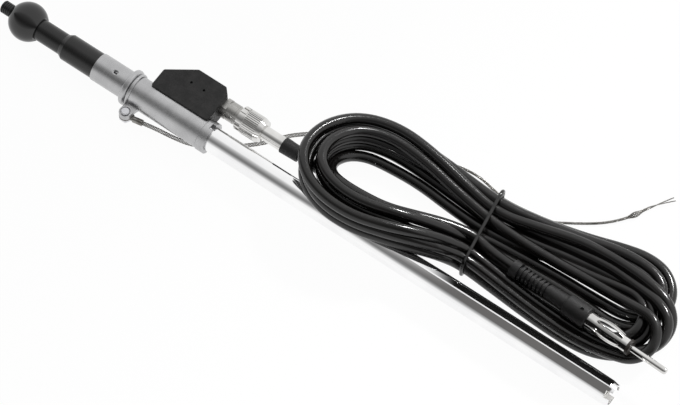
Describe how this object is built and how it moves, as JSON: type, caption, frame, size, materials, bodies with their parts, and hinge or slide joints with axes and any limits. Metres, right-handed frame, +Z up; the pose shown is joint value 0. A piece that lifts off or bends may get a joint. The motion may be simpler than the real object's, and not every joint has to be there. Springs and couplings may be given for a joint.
{
  "type": "car mast aerial",
  "caption": "Telescopic car aerial with a ball-headed insulator, die-cast housing, protective tube, coaxial lead tied in a hank, aerial plug and earth strap.",
  "frame": {"origin": "on the mast axis, at the upper face of the housing's bead, where the aerial seats under the wing", "axes": "+X runs down the mast axis to the foot of the protective tube, +Z is up as the aerial lies on the floor, and +Y points to the side with the connection box"},
  "size_m": [0.3361, 0.1104, 0.029],
  "materials": {
    "black_gloss_plastic": "gloss moulded",
    "black_plastic": "satin moulded",
    "satin_sleeve": "satin turned",
    "die_cast_grey": "tumbled die casting",
    "bright_tube": "bright drawn",
    "white_insulator": "natural moulded",
    "dark_insulator": "moulded",
    "brass": "bare",
    "nickel_plate": "nickel plated, bright",
    "black_rubber": "matte moulded",
    "cable_sheath": "satin extruded PVC",
    "zinc_plated_steel": "zinc plated",
    "tinned_copper": "tinned",
    "chromed_mast": "chrome plated",
    "black_tip": "black plated",
    "lock_brass": "dull"
  },
  "bodies": {
    "base": {"ball_head": "black_gloss_plastic", "neck_insulator": "black_plastic", "box_body": "black_plastic", "box_lid": "black_plastic", "cable_tie": "black_plastic", "plug_grip": "black_plastic", "upper_sleeve": "satin_sleeve", "housing": "die_cast_grey", "protective_tube": "bright_tube", "guide_liner": "white_insulator", "foot_bush": "white_insulator", "socket_insulator": "white_insulator", "connector_insulator": "white_insulator", "plug_insulator": "dark_insulator", "contact_tube": "brass", "feed_strip": "brass", "socket_contact": "brass", "connector_pin": "brass", "socket_shell": "nickel_plate", "cable_ferrule": "nickel_plate", "plug_barrel": "nickel_plate", "plug_pin": "nickel_plate", "cable_boot": "black_rubber", "strain_relief": "black_rubber", "cable_lead": "cable_sheath", "cable_hank": "cable_sheath", "cable_tail": "cable_sheath", "earth_screw": "zinc_plated_steel", "earth_nut": "zinc_plated_steel", "ring_terminal": "tinned_copper", "earth_braid": "tinned_copper"},
    "lower_mast": {"lower_section": "chromed_mast", "lower_foot": "brass"},
    "middle_mast": {"middle_section": "chromed_mast", "middle_foot": "brass"},
    "upper_mast": {"upper_section": "chromed_mast", "upper_foot": "brass"},
    "tip_mast": {"tip_rod": "chromed_mast", "rod_foot": "brass", "tip_cap": "black_tip"},
    "lock": {"lock_core": "lock_brass"},
    "nut": {"coupling_nut": "nickel_plate"}
  },
  "joints": [
    {"name": "lower_slide", "type": "slide", "parent": "base", "child": "lower_mast", "axis": [-1, 0, 0], "range_m": [0, 0.22]},
    {"name": "middle_slide", "type": "slide", "parent": "lower_mast", "child": "middle_mast", "axis": [-1, 0, 0], "range_m": [0, 0.26]},
    {"name": "upper_slide", "type": "slide", "parent": "middle_mast", "child": "upper_mast", "axis": [-1, 0, 0], "range_m": [0, 0.25]},
    {"name": "tip_slide", "type": "slide", "parent": "upper_mast", "child": "tip_mast", "axis": [-1, 0, 0], "range_m": [0, 0.24]},
    {"name": "lock_turn", "type": "hinge", "parent": "tip_mast", "child": "lock", "pos_m": [-0.06576, 0, 0], "axis": [1, 0, 0], "range_deg": [0, 90]},
    {"name": "nut_turn", "type": "hinge", "parent": "base", "child": "nut", "pos_m": [0.0554, 0.0157, 0], "axis": [1, 0, 0], "continuous": true}
  ]
}
